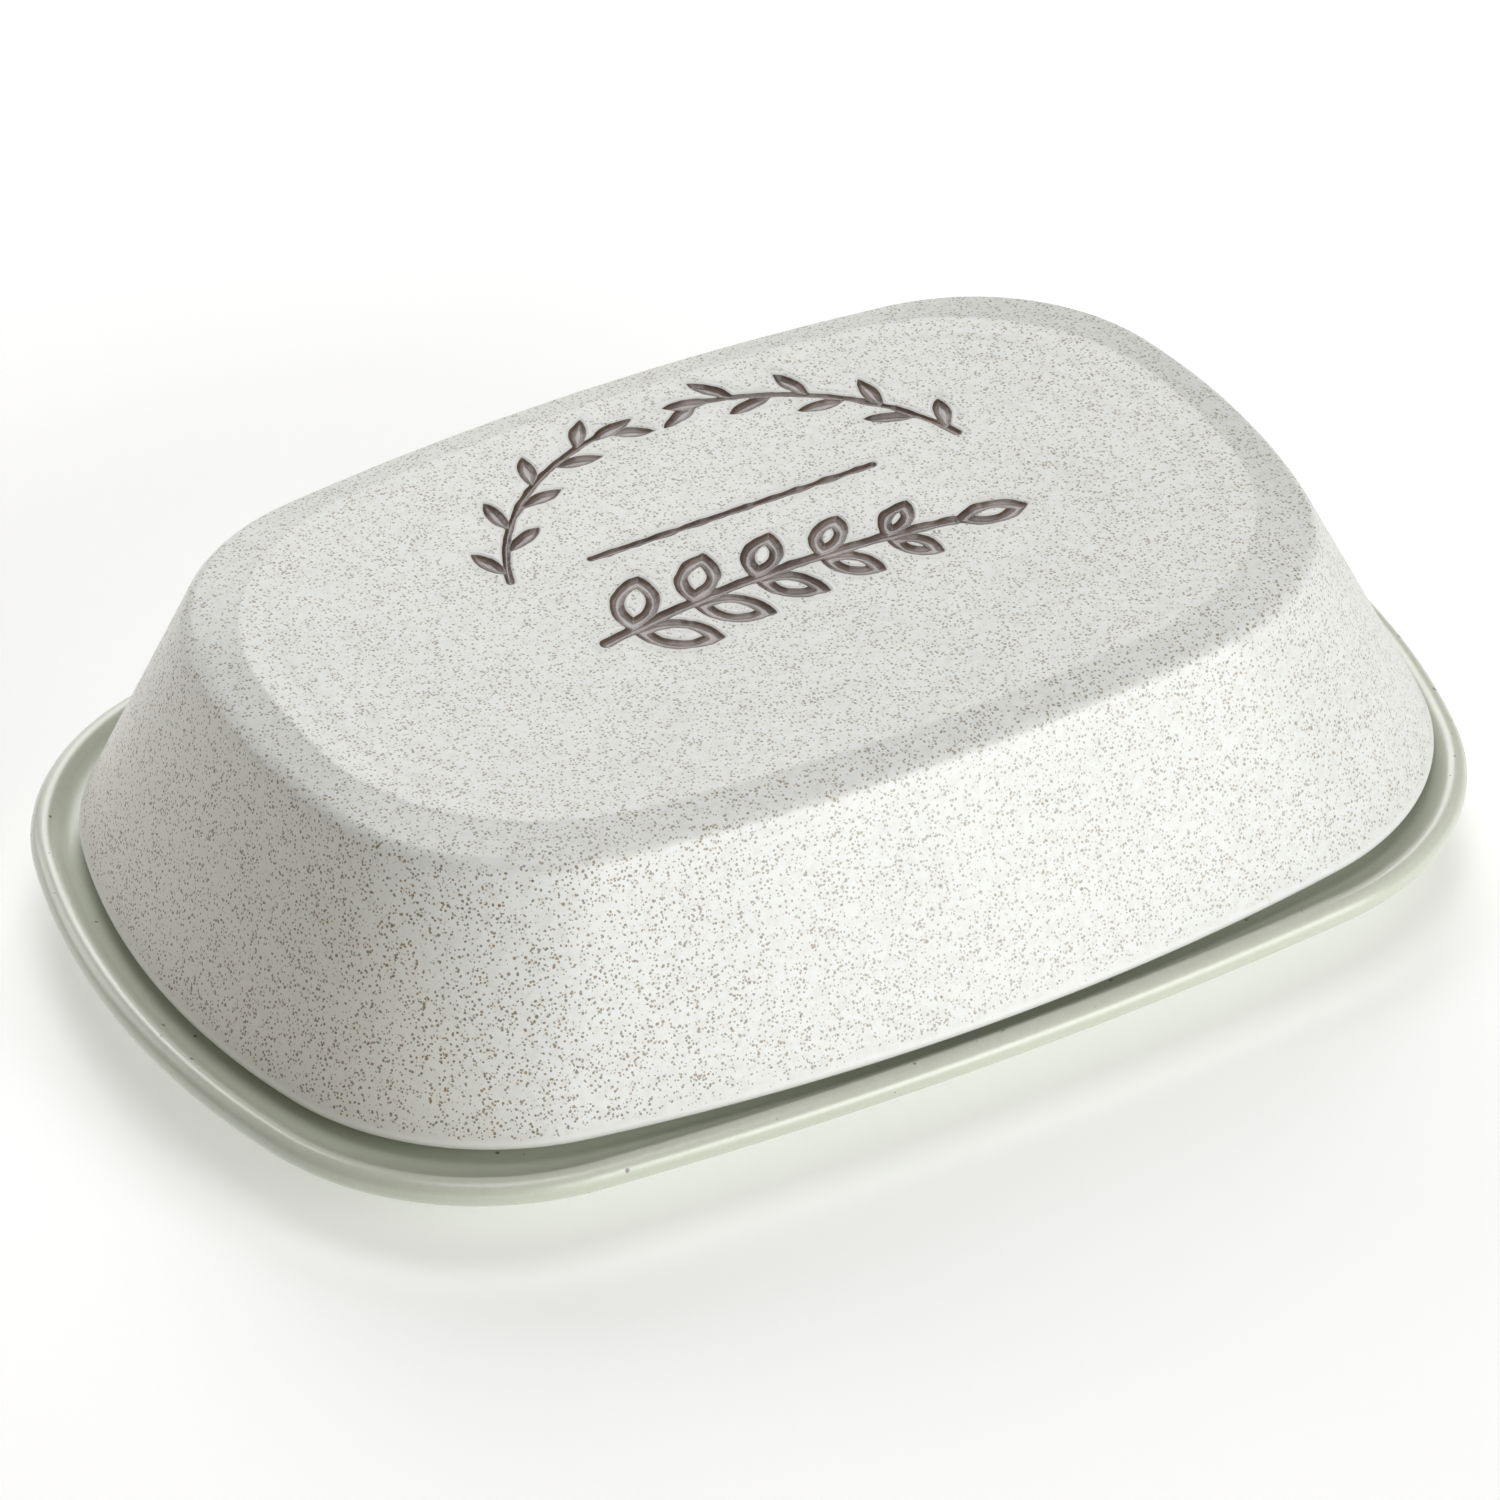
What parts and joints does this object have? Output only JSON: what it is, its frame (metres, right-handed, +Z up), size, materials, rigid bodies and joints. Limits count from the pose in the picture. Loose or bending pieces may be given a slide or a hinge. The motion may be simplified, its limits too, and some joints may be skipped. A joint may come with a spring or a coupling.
{
  "type": "butter crock",
  "caption": "Oblong glazed stoneware butter crock: a shallow tray with a rolled lip and a loose hollow cover with a pressed leaf ornament, to keep a block of butter.",
  "frame": {"origin": "middle of the tray's foot, on the surface that it stands on", "axes": "+Z up, +X along the long side; the long side that faces -Y is the one nearest a reader of the ornament"},
  "size_m": [0.2, 0.1406, 0.0523],
  "materials": {
    "tray_glaze": "glossy pale sage green glaze with sparse iron specks, bare clay under the foot ring",
    "cover_glaze": "satin gloss off-white glaze, densely speckled olive and brown",
    "ornament_glaze": "glossy dark brown glaze run into the pressed grooves"
  },
  "bodies": {
    "tray": {"tray": "tray_glaze"},
    "cover": {"cover": "cover_glaze", "garland_glaze": "ornament_glaze", "rule_glaze": "ornament_glaze", "sprig_glaze": "ornament_glaze"}
  },
  "joints": [
    {"name": "cover_lift", "type": "slide", "parent": "tray", "child": "cover", "axis": [0, 0, 1], "range_m": [0, 0.08]}
  ]
}
